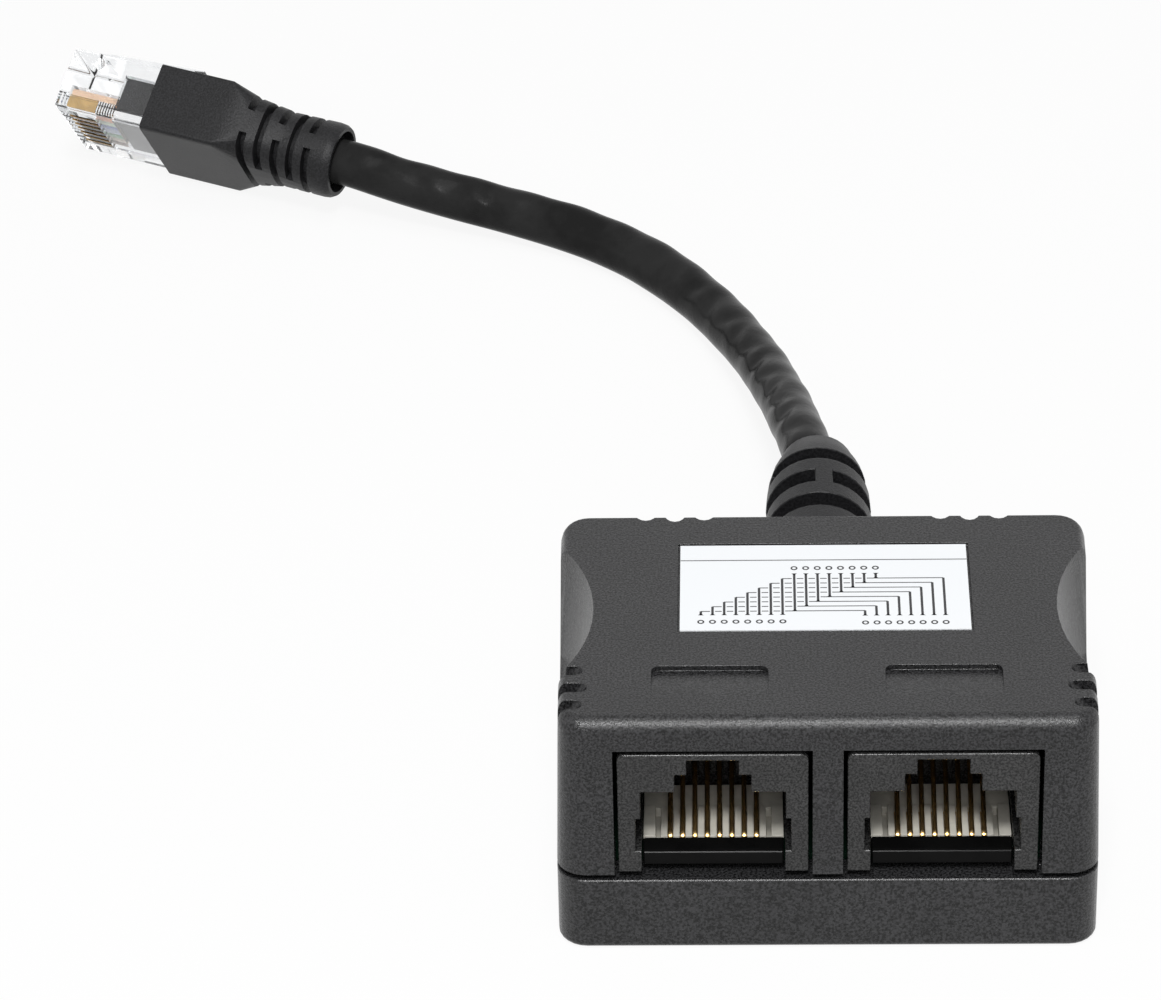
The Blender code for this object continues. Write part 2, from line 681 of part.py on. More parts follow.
def make_jack(side, x):
    back = JACK_FRONT + JACK_DEPTH - JACK_BACK_WALL
    carrier_front = JACK_FRONT + BAR_SETBACK + BAR_DEPTH + FIT
    carrier_back = carrier_front + CARRIER_DEPTH

    bm = bmesh.new()
    prism_y(bm, jack_outline(x), JACK_FRONT, JACK_FRONT + JACK_DEPTH)
    housing = place(f"{side}_jack_housing", bm, JACK_GREY)
    bm = bmesh.new()
    prism_y(bm, bay_outline(x), JACK_FRONT - OVERCUT, back)
    boolean(housing, cutter(f"{side}_jack_bay", bm))
    bm = bmesh.new()
    for offset in contact_offsets():
        box(bm, (x + offset - CONTACT_SLOT / 2, back - OVERLAP, FLOOR_TOP),
            (x + offset + CONTACT_SLOT / 2, back + COMB_DEPTH, JACK_TOP - LATCH_STEP_TOP))
    boolean(housing, cutter(f"{side}_jack_comb", bm))

    bar_half = LEG_BAY_WIDTH / 2 - FIT
    near, far = JACK_FRONT + BAR_SETBACK, JACK_FRONT + BAR_SETBACK + BAR_DEPTH
    low = JACK_BOTTOM
    bm = bmesh.new()
    section = ((near, low), (far, low), (far, FLOOR_TOP), (near + BAR_CHAMFER, FLOOR_TOP),
               (near, FLOOR_TOP - BAR_CHAMFER))
    loft(bm, [[(x + sign * bar_half, y, z) for y, z in section] for sign in (-1, 1)])
    place(f"{side}_jack_bar", bm, GLOSS_BLACK)

    slot_floor = low + CARRIER_LEDGE
    bm = bmesh.new()
    box(bm, (x - bar_half, carrier_front, low), (x + bar_half, carrier_back, FLOOR_TOP))
    carrier = place(f"{side}_contact_carrier", bm, NATURAL)
    bm = bmesh.new()
    for offset in contact_offsets():
        box(bm, (x + offset - CONTACT_SLOT / 2, carrier_front - OVERCUT, slot_floor),
            (x + offset + CONTACT_SLOT / 2, carrier_back + OVERCUT, FLOOR_TOP + OVERCUT))
    boolean(carrier, cutter(f"{side}_carrier_slots", bm))

    run_z = slot_floor + CONTACT_THICKNESS / 2 + FIT
    bend_y = carrier_front + CONTACT_THICKNESS / 2 + FIT
    tail_y = (carrier_back + back) / 2
    crest_z = FLOOR_TOP - CONTACT_THICKNESS / 2
    bend = CONTACT_BEND
    path = (
        (tail_y, BOARD_TOP + FIT), (tail_y, run_z), (bend_y + bend, run_z), (bend_y, run_z + bend),
        (bend_y, crest_z - bend / 2), (bend_y + bend, crest_z + bend / 4),
        (back + COMB_DEPTH / 2, FLOOR_TOP + CONTACT_RISE),
    )
    for number, offset in enumerate(contact_offsets(), 1):
        strip(f"{side}_contact_{number}", x + offset, path, CONTACT_WIDTH, CONTACT_THICKNESS, GOLD)


# Strain relief: soft bell on the lead, held by its neck in the cover's rear wall
def make_strain_relief():
    start = REAR_Y + NECK_GAP
    bell = [(start + RELIEF_LENGTH * along, RELIEF_RADIUS * share) for along, share in RELIEF_PROFILE]
    bell.append((RELIEF_TIP_Y, RELIEF_TIP_RADIUS))
    round_levels = [(FLANGE_Y - FLANGE_THICKNESS, FLANGE_RADIUS), (FLANGE_Y, FLANGE_RADIUS),
                    (FLANGE_Y, NECK_RADIUS), (start, NECK_RADIUS)] + bell
    stations = [(y, radius, radius, 2) for y, radius in round_levels]
    bm = bmesh.new()
    boot_body(bm, stations, LEAD_Z)
    relief = place("strain_relief", bm, SOFT_BLACK)
    bm = bmesh.new()
    first = RELIEF_TIP_Y - RELIEF_FIRST_SLOT - (RELIEF_SLOT_COUNT - 1) * RELIEF_SLOT_PITCH
    bell_stations = [(y, radius, radius, 2) for y, radius in bell]
    boot_slots(bm, bell_stations, first, RELIEF_SLOT_PITCH, RELIEF_SLOT_COUNT, RELIEF_SLOT_WIDTH,
               RELIEF_SLOT_DEPTH, RELIEF_SLOT_COUNT % 2 == 0, LEAD_Z, RELIEF_SLOT_TURN)
    boolean(relief, cutter("relief_slots", bm))


# Cable: the free lead, and the eight cores that reach the board
def make_cable():
    start = Vector((CABLE_EXIT_X, RELIEF_TIP_Y + SEAT_GAP, LEAD_Z))
    end = Vector(PLUG_END) + plug_axis() * (BOOT_RECESS_DEPTH - SEAT_GAP)
    wire("cable", smooth_path([start, *ROUTE, end], CABLE_STEP), CABLE_RADIUS, JACKET_BLACK, 4)


def make_core_wires():
    flange_face = FLANGE_Y - FLANGE_THICKNESS - SEAT_GAP
    pad_z = BOARD_TOP + FIT + CORE_RADIUS
    middle = (CONTACT_COUNT - 1) / 2
    for i in range(CONTACT_COUNT):
        path = []
        for t in (0.0, 0.2, 0.4, 0.6, 0.8, 1.0):
            ease = t * t * (3 - 2 * t)
            pitch = CORE_PITCH + (PAD_PITCH - CORE_PITCH) * ease
            path.append(((i - middle) * pitch, flange_face + (PAD_Y - flange_face) * t,
                         LEAD_Z + (pad_z - LEAD_Z) * ease))
        wire(f"core_wire_{i + 1}", path, CORE_RADIUS, WIRE_MATERIALS[i], 1)


# Plug end: boot, clear body with its latch, eight blades and the cores behind them
def plug_axis():
    yaw, pitch = radians(PLUG_YAW), radians(PLUG_PITCH)
    return Vector((-sin(yaw) * cos(pitch), cos(yaw) * cos(pitch), sin(pitch)))


def plug_frame():
    """An empty at the boot's tail, its Y along the plug and its Z on the latch side."""
    yaw = Matrix.Rotation(radians(PLUG_YAW), 4, "Z")
    pitch = Matrix.Rotation(radians(PLUG_PITCH), 4, "X")
    roll = Matrix.Rotation(radians(PLUG_ROLL), 4, "Y")
    frame = bpy.data.objects.new("plug_frame", None)
    frame.matrix_world = Matrix.Translation(PLUG_END) @ yaw @ pitch @ roll
    parts.objects.link(frame)
    return frame


def make_plug_boot(frame):
    half_w, half_t = BOOT_WIDTH / 2, BOOT_THICKNESS / 2
    stations = [(y, BOOT_TAIL_RADIUS * share, BOOT_TAIL_RADIUS * share, 2) for y, share in BOOT_NOSE_LEVELS]
    stations += [(y, half_w * wide, half_t * thick, power) for y, wide, thick, power in BOOT_SWELL_LEVELS]
    stations.append((BOOT_LENGTH, half_w, half_t, BOOT_FRONT_POWER))
    bm = bmesh.new()
    boot_body(bm, stations)
    boot = place("plug_boot", bm, SOFT_BLACK, frame)

    pocket = TIP_Y - PLUG_LENGTH - FIT
    bm = bmesh.new()
    boot_body(bm, [(y, BOOT_RECESS_RADIUS, BOOT_RECESS_RADIUS, 2) for y in (-OVERCUT, BOOT_RECESS_DEPTH)])
    half_x, half_z = PLUG_WIDTH / 2 + FIT, PLUG_THICKNESS / 2 + FIT
    box(bm, (-half_x, pocket, -half_z), (half_x, BOOT_LENGTH + OVERCUT, half_z))
    boolean(boot, cutter("boot_pocket", bm, frame))
    bm = bmesh.new()
    half_x, half_z = TONGUE_WIDTH / 2, TONGUE_THICKNESS / 2
    box(bm, (-half_x, pocket - OVERCUT, -half_z), (half_x, TIP_Y - TONGUE_TIP_GAP, half_z))
    boolean(boot, cutter("boot_tongue", bm, frame), "UNION")
    bm = bmesh.new()
    boot_slots(bm, stations, BOOT_FIRST_SLOT, BOOT_SLOT_PITCH, BOOT_SLOT_COUNT, BOOT_SLOT_WIDTH,
               BOOT_SLOT_DEPTH, False)
    boolean(boot, cutter("boot_slots", bm, frame))


def make_plug_body(frame):
    half_x, half_z = PLUG_WIDTH / 2, PLUG_THICKNESS / 2
    rear = TIP_Y - PLUG_LENGTH
    bm = bmesh.new()
    box(bm, (-half_x, rear, -half_z), (half_x, TIP_Y, half_z))
    bmesh.ops.bevel(bm, geom=bm.edges[:], offset=PLUG_EDGE, segments=2, profile=0.5, affect="EDGES")
    body = place("plug_body", bm, CLEAR, frame)

    slope = tan(radians(LATCH_ANGLE))
    levels = (
        (0.0, -LATCH_EMBED, -LATCH_EMBED / 2, 1.0), (LATCH_FOOT / 3, -LATCH_EMBED, LATCH_THICKNESS, 1.0),
        (LATCH_FOOT, -LATCH_EMBED, LATCH_THICKNESS + LATCH_FOOT * slope, 1.0),
        (LATCH_FOOT + OVERLAP, LATCH_FOOT * slope, LATCH_THICKNESS + LATCH_FOOT * slope, 1.0),
        (LATCH_LENGTH, LATCH_LENGTH * slope, LATCH_THICKNESS + LATCH_LENGTH * slope, LATCH_END_SHARE),
    )
    bm = bmesh.new()
    rings = []
    for back, low, high, share in levels:
        x, y = LATCH_WIDTH / 2 * share, TIP_Y - LATCH_ROOT_GAP - back
        section = ((x, low), (x, high), (-x, high), (-x, low))
        rings.append([(across, y, half_z + up) for across, up in section])
    loft(bm, rings)
    boolean(body, cutter("plug_latch", bm, frame), "UNION")

    bm = bmesh.new()
    gap = 2 * FIT
    half_cx, half_cz = TONGUE_WIDTH / 2 + gap, TONGUE_THICKNESS / 2 + gap
    cavity_end = TIP_Y - TONGUE_TIP_GAP + gap
    box(bm, (-half_cx, rear - OVERCUT, -half_cz), (half_cx, cavity_end, half_cz))
    boolean(body, cutter("plug_cavity", bm, frame))
    bm = bmesh.new()
    reach = CONTACT_PITCH * CONTACT_COUNT / 2 + gap
    low, high = WIRE_Z - WIRE_RADIUS - FIT, WIRE_Z + WIRE_RADIUS + FIT
    wire_end = TIP_Y - BLADE_FRONT_GAP
    box(bm, (-reach, cavity_end - OVERLAP, low), (reach, wire_end, high))
    boolean(body, cutter("plug_wire_channel", bm, frame))
    bm = bmesh.new()
    half_slot = BLADE_THICKNESS / 2 + FIT
    back = TIP_Y - BLADE_FRONT_GAP - BLADE_LENGTH - FIT
    for offset in contact_offsets():
        box(bm, (offset - half_slot, back, -half_z - OVERCUT),
            (offset + half_slot, TIP_Y + OVERCUT, low + OVERLAP))
    boolean(body, cutter("plug_blade_slots", bm, frame))


def make_plug_blades_and_wires(frame):
    front = TIP_Y - BLADE_FRONT_GAP
    low = -PLUG_THICKNESS / 2 + BLADE_SINK
    high = WIRE_Z - WIRE_RADIUS - FIT
    for i, offset in enumerate(contact_offsets()):
        bm = bmesh.new()
        box(bm, (offset - BLADE_THICKNESS / 2, front - BLADE_LENGTH, low),
            (offset + BLADE_THICKNESS / 2, front, high))
        place(f"plug_contact_{i + 1}", bm, GOLD, frame)
        start = TIP_Y - TONGUE_TIP_GAP + FIT
        points = [(offset, start, WIRE_Z), (offset, front - FIT, WIRE_Z)]
        wire(f"plug_wire_{i + 1}", points, WIRE_RADIUS, WIRE_MATERIALS[i], 1, frame)


make_top_cover()
make_base_shell()
make_label()
make_board()
make_jack("left", -JACK_X)
make_jack("right", JACK_X)
make_strain_relief()
make_cable()
make_core_wires()
plug = plug_frame()
make_plug_boot(plug)
make_plug_body(plug)
make_plug_blades_and_wires(plug)
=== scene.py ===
"""RJ45 splitter adapter: finishes, printed label and lumpy lead over the model, in a white studio.

Metres, +Z up, jacks towards -Y. The origin is the centre of the box's footprint on the table.
"""

from math import cos, exp, pi, radians, sin

import bmesh
import bpy
from mathutils import Matrix, Vector


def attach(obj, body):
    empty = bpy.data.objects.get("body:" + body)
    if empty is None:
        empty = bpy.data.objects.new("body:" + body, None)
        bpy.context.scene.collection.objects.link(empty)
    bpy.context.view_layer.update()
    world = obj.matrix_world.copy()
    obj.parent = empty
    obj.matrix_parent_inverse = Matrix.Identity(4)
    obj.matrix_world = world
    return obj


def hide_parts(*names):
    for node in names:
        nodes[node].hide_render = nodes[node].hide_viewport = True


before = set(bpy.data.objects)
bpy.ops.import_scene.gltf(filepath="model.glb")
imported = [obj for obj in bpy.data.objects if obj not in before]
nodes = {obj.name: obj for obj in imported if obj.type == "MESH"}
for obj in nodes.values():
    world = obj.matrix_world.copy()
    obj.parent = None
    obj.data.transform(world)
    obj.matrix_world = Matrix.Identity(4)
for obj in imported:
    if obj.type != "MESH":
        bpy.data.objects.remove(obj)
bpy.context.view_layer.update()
scene = bpy.context.scene

# Camera
# A long lens from above and in front, set from the box's edges, the label's corners and the jacks.
camera_place = Vector((-0.007034, -0.368748, 0.269336))
camera_right = Vector((0.999529, 0.021582, -0.021805))
camera_up = Vector((0.006773, 0.537962, 0.842942))
camera_back = Vector((0.029922, -0.842693, 0.537563))
sensor_width, focal_length = 36.0, 165.02
nearest, farthest = 0.01, 20.0

camera_data = bpy.data.cameras.new("camera")
camera_data.sensor_width = sensor_width
camera_data.lens = focal_length
camera_data.clip_start = nearest
camera_data.clip_end = farthest
camera = bpy.data.objects.new("camera", camera_data)
camera.matrix_world = Matrix.Translation(camera_place) @ Matrix(
    (camera_right, camera_up, camera_back)).transposed().to_4x4()
scene.collection.objects.link(camera)
scene.camera = camera
scene.view_settings.view_transform = "Standard"

# Studio: white table and room
# A white table that runs out of view, and a white room that lights it evenly. Both show as plain white
# to the camera, in gloss and through the clear plug, and the table keeps a faint shadow.
table_size = 3.0
table_white = (0.86, 0.86, 0.86, 1.0)
table_shadow_share = 0.10
room_level = 0.22

table_mesh = bpy.data.meshes.new("table")
table_bm = bmesh.new()
bmesh.ops.create_grid(table_bm, x_segments=1, y_segments=1, size=table_size / 2)
table_bm.to_mesh(table_mesh)
table_bm.free()
table = bpy.data.objects.new("table", table_mesh)
scene.collection.objects.link(table)


def seen_directly(tree):
    """A value that is 1 for camera, glossy and transmission rays."""
    rays = tree.nodes.new("ShaderNodeLightPath")
    first = tree.nodes.new("ShaderNodeMath")
    first.operation = "MAXIMUM"
    tree.links.new(rays.outputs["Is Camera Ray"], first.inputs[0])
    tree.links.new(rays.outputs["Is Glossy Ray"], first.inputs[1])
    second = tree.nodes.new("ShaderNodeMath")
    second.operation = "MAXIMUM"
    tree.links.new(first.outputs[0], second.inputs[0])
    tree.links.new(rays.outputs["Is Transmission Ray"], second.inputs[1])
    return second.outputs[0]


table_look = bpy.data.materials.new("white_table")
table_look.use_nodes = True
table_tree = table_look.node_tree
table_tree.nodes.clear()
matt = table_tree.nodes.new("ShaderNodeBsdfDiffuse")
matt.inputs["Color"].default_value = table_white
glow = table_tree.nodes.new("ShaderNodeEmission")
share = table_tree.nodes.new("ShaderNodeMath")
share.operation = "MULTIPLY"
share.inputs[1].default_value = 1.0 - table_shadow_share
table_tree.links.new(seen_directly(table_tree), share.inputs[0])
blend = table_tree.nodes.new("ShaderNodeMixShader")
table_tree.links.new(share.outputs[0], blend.inputs[0])
table_tree.links.new(matt.outputs[0], blend.inputs[1])
table_tree.links.new(glow.outputs[0], blend.inputs[2])
table_end = table_tree.nodes.new("ShaderNodeOutputMaterial")
table_tree.links.new(blend.outputs[0], table_end.inputs["Surface"])
table_mesh.materials.append(table_look)

room = bpy.data.worlds.new("white_room")
room.use_nodes = True
room_tree = room.node_tree
room_light = room_tree.nodes["Background"]
room_light.inputs["Color"].default_value = (1.0, 1.0, 1.0, 1.0)
level = room_tree.nodes.new("ShaderNodeMapRange")
level.inputs["To Min"].default_value = room_level
level.inputs["To Max"].default_value = 1.0
room_tree.links.new(seen_directly(room_tree), level.inputs["Value"])
room_tree.links.new(level.outputs["Result"], room_light.inputs["Strength"])
scene.world = room

# Studio: soft lamps
# A tall strip softbox above and in front, which the cover's front edge mirrors as a light band, a small
# hot one in it that sparkles in the grain, and a low weak one at each side for the flanks.
lamp_aim = Vector((0.0, 0.0, 0.01))
lamps = (
    ("lamp_strip", (0.0, -0.44, 0.70), (0.24, 1.1), 4.6),
    ("lamp_small", (-0.03, -0.42, 0.66), (0.11, 0.11), 2.7),
    ("lamp_right", (0.62, -0.05, 0.30), (0.35, 0.35), 0.2),
    ("lamp_left", (-0.62, -0.05, 0.30), (0.35, 0.35), 0.2),
)
for name, place, size, power in lamps:
    lamp_data = bpy.data.lights.new(name, "AREA")
    lamp_data.shape = "RECTANGLE"
    lamp_data.size, lamp_data.size_y = size
    lamp_data.energy = power
    lamp = bpy.data.objects.new(name, lamp_data)
    lamp.location = place
    lamp.rotation_euler = (lamp_aim - Vector(place)).to_track_quat("-Z", "Y").to_euler()
    scene.collection.objects.link(lamp)


# Lead
# Soft PVC jacket over four twisted pairs, which press through it as two long lobes and low lumps. It
# leaves the strain relief, drops to the table and runs up into the plug's boot.
lead_radius = 0.0024
lead_sides = 48
lead_seat_gap = 0.0003
relief_tip = Vector((-0.0007, 0.0413, 0.0113))
plug_end = Vector((-0.0475, 0.1084, 0.0062))
boot_recess = 0.0012
plug_yaw, plug_pitch = radians(69.5), radians(4.0)
plug_axis = Vector((-sin(plug_yaw) * cos(plug_pitch), cos(plug_yaw) * cos(plug_pitch), sin(plug_pitch)))
lead_route = (
    (-0.0008, 0.0432, 0.0113), (-0.0014, 0.0485, 0.0102), (-0.0020, 0.0530, 0.0090),
    (-0.0026, 0.0577, 0.0078), (-0.0034, 0.0622, 0.0067), (-0.0042, 0.0666, 0.0057),
    (-0.0052, 0.0709, 0.0048), (-0.0064, 0.0751, 0.0040), (-0.0077, 0.0790, 0.0034),
    (-0.0092, 0.0828, 0.0029), (-0.0110, 0.0864, 0.0026), (-0.0134, 0.0902, 0.0025),
    (-0.0168, 0.0944, 0.0025), (-0.0208, 0.0980, 0.0026), (-0.0250, 0.1006, 0.0029),
    (-0.0310, 0.1031, 0.0035), (-0.0368, 0.1048, 0.0044), (-0.0415, 0.1062, 0.0052),
    (-0.0462, 0.1079, 0.0061),
)


def smooth_path(knots, parts=14):
    """Points on a Catmull-Rom curve through the knots."""
    knots = [Vector(k) for k in knots]
    ends = [2 * knots[0] - knots[1]] + knots + [2 * knots[-1] - knots[-2]]
    path = []
    for a, b, c, d in zip(ends, ends[1:], ends[2:], ends[3:]):
        for i in range(parts):
            t = i / parts
            path.append(0.5 * (2 * b + (c - a) * t + (2 * a - 5 * b + 4 * c - d) * t * t
                               + (3 * b - a - 3 * c + d) * t ** 3))
    path.append(knots[-1])
    return path


def tube(bm, path, radius_at, sides):
    """A closed tube along a path; radius_at(distance, angle) gives its radius."""
    across = Vector((1, 0, 0))
    loops, walked = [], 0.0
    for i, point in enumerate(path):
        if i:
            walked += (point - path[i - 1]).length
        ahead = (path[min(i + 1, len(path) - 1)] - path[max(i - 1, 0)]).normalized()
        across = (across - ahead * across.dot(ahead)).normalized()
        over = ahead.cross(across)
        ring = []
        for k in range(sides):
            a = 2 * pi * k / sides
            ring.append(bm.verts.new(point + (across * cos(a) + over * sin(a)) * radius_at(walked, a)))
        loops.append(ring)
    for near, far in zip(loops, loops[1:]):
        for k in range(sides):
            m = (k + 1) % sides
            bm.faces.new((near[k], near[m], far[m], far[k]))
    bm.faces.new(list(reversed(loops[0])))
    bm.faces.new(loops[-1])
    bmesh.ops.recalc_face_normals(bm, faces=bm.faces)


def finished(name, bm, material, sharp=40.0):
    """Turns a bmesh into a smooth-shaded piece that rides with the part."""
    mesh = bpy.data.meshes.new(name)
    bm.to_mesh(mesh)
    bm.free()
    mesh.shade_smooth()
    mesh.set_sharp_from_angle(angle=radians(sharp))
    mesh.materials.append(material)
    made = bpy.data.objects.new(name, mesh)
    scene.collection.objects.link(made)
    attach(made, "root")
    return made


def plain_look(name, colour, roughness, metallic=0.0, specular=0.5):
    """A Principled material with the same gloss all over."""
    look = bpy.data.materials.new(name)
    look.use_nodes = True
    shader = look.node_tree.nodes["Principled BSDF"]
    shader.inputs["Base Color"].default_value = (*colour, 1.0)
    shader.inputs["Roughness"].default_value = roughness
    shader.inputs["Metallic"].default_value = metallic
    shader.inputs["Specular IOR Level"].default_value = specular
    return look


noise_roughness = 0.6
patch_detail = 4.0
middle_low, middle_high = 0.40, 0.60


def noise_on(tree, scale, detail):
    """A noise value in the piece's own coordinates."""
    where = tree.nodes.new("ShaderNodeTexCoord")
    noise = tree.nodes.new("ShaderNodeTexNoise")
    noise.inputs["Scale"].default_value = scale
    noise.inputs["Detail"].default_value = detail
    noise.inputs["Roughness"].default_value = noise_roughness
    tree.links.new(where.outputs["Object"], noise.inputs["Vector"])
    return noise.outputs["Fac"]


def add_grain(look, scale, depth, detail=3.0):
    """Adds a fine moulded or worn grain to a material, and returns its height."""
    tree = look.node_tree
    height = noise_on(tree, scale, detail)
    bump = tree.nodes.new("ShaderNodeBump")
    bump.inputs["Strength"].default_value = 1.0
    bump.inputs["Distance"].default_value = depth
    tree.links.new(height, bump.inputs["Height"])
    tree.links.new(bump.outputs["Normal"], tree.nodes["Principled BSDF"].inputs["Normal"])
    return height


def tinted(tree, value, colour, shade):
    """A colour that goes from darker to lighter by a share as the value goes through its middle range."""
    spread = tree.nodes.new("ShaderNodeMapRange")
    spread.inputs["From Min"].default_value = middle_low
    spread.inputs["From Max"].default_value = middle_high
    tree.links.new(value, spread.inputs["Value"])
    tone = tree.nodes.new("ShaderNodeMix")
    tone.data_type = "RGBA"
    dark, light = [socket for socket in tone.inputs if socket.type == "RGBA"]
    dark.default_value = (*[c * (1.0 - shade) for c in colour[:3]], 1.0)
    light.default_value = (*[c * (1.0 + shade) for c in colour[:3]], 1.0)
    tree.links.new(spread.outputs["Result"], tone.inputs["Factor"])
    return [socket for socket in tone.outputs if socket.type == "RGBA"][0]


def add_wear(look, scale, shade, polish, pits=None, pit_shade=0.0):
    """Varies the colour by a share and the roughness by an amount, as handling and moulding leave them."""
    tree = look.node_tree
    shader = tree.nodes["Principled BSDF"]
    patches = noise_on(tree, scale, patch_detail)
    tone = tinted(tree, patches, shader.inputs["Base Color"].default_value[:], shade)
    if pits:
        speckled = tree.nodes.new("ShaderNodeMix")
        speckled.data_type = "RGBA"
        speckled.blend_type = "MULTIPLY"
        speckled.inputs["Factor"].default_value = 1.0
        first, second = [socket for socket in speckled.inputs if socket.type == "RGBA"]
        tree.links.new(tone, first)
        tree.links.new(tinted(tree, pits, (1.0, 1.0, 1.0), pit_shade), second)
        tone = [socket for socket in speckled.outputs if socket.type == "RGBA"][0]
    tree.links.new(tone, shader.inputs["Base Color"])
    gloss = tree.nodes.new("ShaderNodeMapRange")
    gloss.inputs["To Min"].default_value = shader.inputs["Roughness"].default_value - polish
    gloss.inputs["To Max"].default_value = shader.inputs["Roughness"].default_value + polish
    tree.links.new(patches, gloss.inputs["Value"])
    tree.links.new(gloss.outputs["Result"], shader.inputs["Roughness"])


valley_angle, valley_depth, valley_width, valley_sway = radians(-125), 0.12, 0.45, 0.20
valley_pitch, glint_pitch, bump_pitch, pair_pitch = 0.0083, 0.00415, 0.0055, 0.0125
swell_place, swell_reach, swell_share = 0.054, 0.016, 0.10
mean_share, bump_share, twist_share, shallowest = 0.978, 0.018, 0.008, 0.35


def lead_lumps(distance, angle):
    """The jacket's radius: two long lobes with a wavy valley between them on the upper side."""
    upper = 0.5 - 0.5 * sin(angle)
    sway = valley_sway * sin(2 * pi * distance / valley_pitch)
    from_valley = (angle - valley_angle - sway + pi) % (2 * pi) - pi
    in_valley = exp(-(from_valley / valley_width) ** 2)
    glints = shallowest + (1 - shallowest) * cos(pi * distance / glint_pitch) ** 2
    bumps = bump_share * upper * cos(2 * pi * distance / bump_pitch)
    twist = twist_share * cos(2 * angle + 2 * pi * distance / pair_pitch)
    swell = swell_share * upper * exp(-((distance - swell_place) / swell_reach) ** 2)
    return lead_radius * (mean_share + bumps + twist + swell - valley_depth * in_valley * glints)


lead_path = smooth_path([relief_tip + Vector((0, lead_seat_gap, 0)), *lead_route,
                         plug_end + plug_axis * (boot_recess - lead_seat_gap)])
lead_look = plain_look("jacket_black", (0.018, 0.018, 0.018), 0.24, specular=0.035)
add_grain(lead_look, 1400.0, 0.00003, 2.0)
add_wear(lead_look, 160.0, 0.25, 0.05)
bm = bmesh.new()
tube(bm, lead_path, lead_lumps, lead_sides)
lead = finished("lead_jacket", bm, lead_look, 60.0)
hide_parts("cable")


# Box shells
# Two halves of charcoal ABS with a fine spark-eroded grain: a deep cover with scooped flanks, and a
# shallow base. Their moulded edges are just broken, by a narrow flat chamfer.
cover_edge, base_edge = 0.0001, 0.00009
weld_reach = 1e-6
flat_angle, cut_angle = radians(0.6), radians(38.0)


def stand_in(node, look, edge=0.0, sharp=35.0):
    """A welded, smooth-shaded copy of a CAD node that stands in for it, with a flat chamfer on its edges."""
    mesh = nodes[node].data.copy()
    bm = bmesh.new()
    bm.from_mesh(mesh)
    bmesh.ops.remove_doubles(bm, verts=bm.verts, dist=weld_reach)
    bmesh.ops.dissolve_limit(bm, angle_limit=flat_angle, verts=bm.verts, edges=bm.edges,
                             delimit={"NORMAL"})
    chamfers = []
    if edge:
        corners = [e for e in bm.edges if e.is_manifold and e.calc_face_angle(0.0) > cut_angle]
        chamfers = bmesh.ops.bevel(bm, geom=corners, offset=edge, segments=1, affect="EDGES",
                                   clamp_overlap=True)["faces"]
    for face in bm.faces:
        face.smooth = True
    for face in chamfers:
        face.smooth = False
    for e in bm.edges:
        e.smooth = e.calc_face_angle(0.0) < radians(sharp)
    bm.to_mesh(mesh)
    bm.free()
    mesh.materials.clear()
    mesh.materials.append(look)
    made = bpy.data.objects.new(f"{node}_finish", mesh)
    scene.collection.objects.link(made)
    flat = made.modifiers.new("flat_faces", "WEIGHTED_NORMAL")
    flat.keep_sharp = True
    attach(made, "root")
    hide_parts(node)
    return made


shell_look = plain_look("charcoal_abs", (0.020, 0.020, 0.021), 0.23, specular=0.32)
add_wear(shell_look, 90.0, 0.08, 0.02, pits=add_grain(shell_look, 5000.0, 0.000045), pit_shade=0.8)
stand_in("top_cover", shell_look, cover_edge)
stand_in("base_shell", shell_look, base_edge)

# Wiring label
# A white self-adhesive film in a shallow bed of the cover, printed with a wiring diagram: a rule near
# the top, eight lines from the lead's pins with their branches to both jacks, and a ring at each pin.
film_look = plain_look("white_label_film", (0.86, 0.88, 0.90), 0.42, specular=0.3)
add_grain(film_look, 700.0, 0.000004)


def repainted(node, look):
    """Gives a carried node of the model one material."""
    nodes[node].data.materials.clear()
    nodes[node].data.materials.append(look)


repainted("wiring_label", film_look)

ink_floor, ink_top = 0.022551, 0.022558
pin_count = 8
pin_first_x, pin_pitch = -0.00250, 0.00098
pin_top_y = 0.00637
line_first_y, line_pitch = 0.00069, 0.00070
left_first_x, left_pitch, left_foot_y = -0.01035, 0.000975, 0.00012
right_first_x, right_pitch, right_foot_y = 0.00334, 0.000955, -0.00006
drop_width, line_width, crossing_gap = 0.00021, 0.00012, 0.00021
arrow_width, arrow_height = 0.00048, 0.00026
ring_row_top_y, ring_row_left_y, ring_row_right_y = 0.00718, -0.00087, -0.00111
ring_outer, ring_inner, ring_sides = 0.00030, 0.00016, 16
rule_y, rule_reach = 0.00843, 0.01208


def printed_area(bm, corners):
    """One flat patch of ink, a few micrometres thick."""
    low = [bm.verts.new((x, y, ink_floor)) for x, y in corners]
    high = [bm.verts.new((x, y, ink_top)) for x, y in corners]
    bm.faces.new(list(reversed(low)))
    bm.faces.new(high)
    for i in range(len(corners)):
        j = (i + 1) % len(corners)
        bm.faces.new((low[i], low[j], high[j], high[i]))


def printed_bar(bm, x0, y0, x1, y1):
    """A straight line of ink between two opposite corners."""
    printed_area(bm, ((x0, y0), (x1, y0), (x1, y1), (x0, y1)))


def printed_arrow(bm, x, y, up):
    """A small triangle with its broad side outwards."""
    tip = y + (arrow_height if up else -arrow_height)
    points = [(x - arrow_width / 2, y), (x + arrow_width / 2, y), (x, tip)]
    printed_area(bm, points if up else list(reversed(points)))


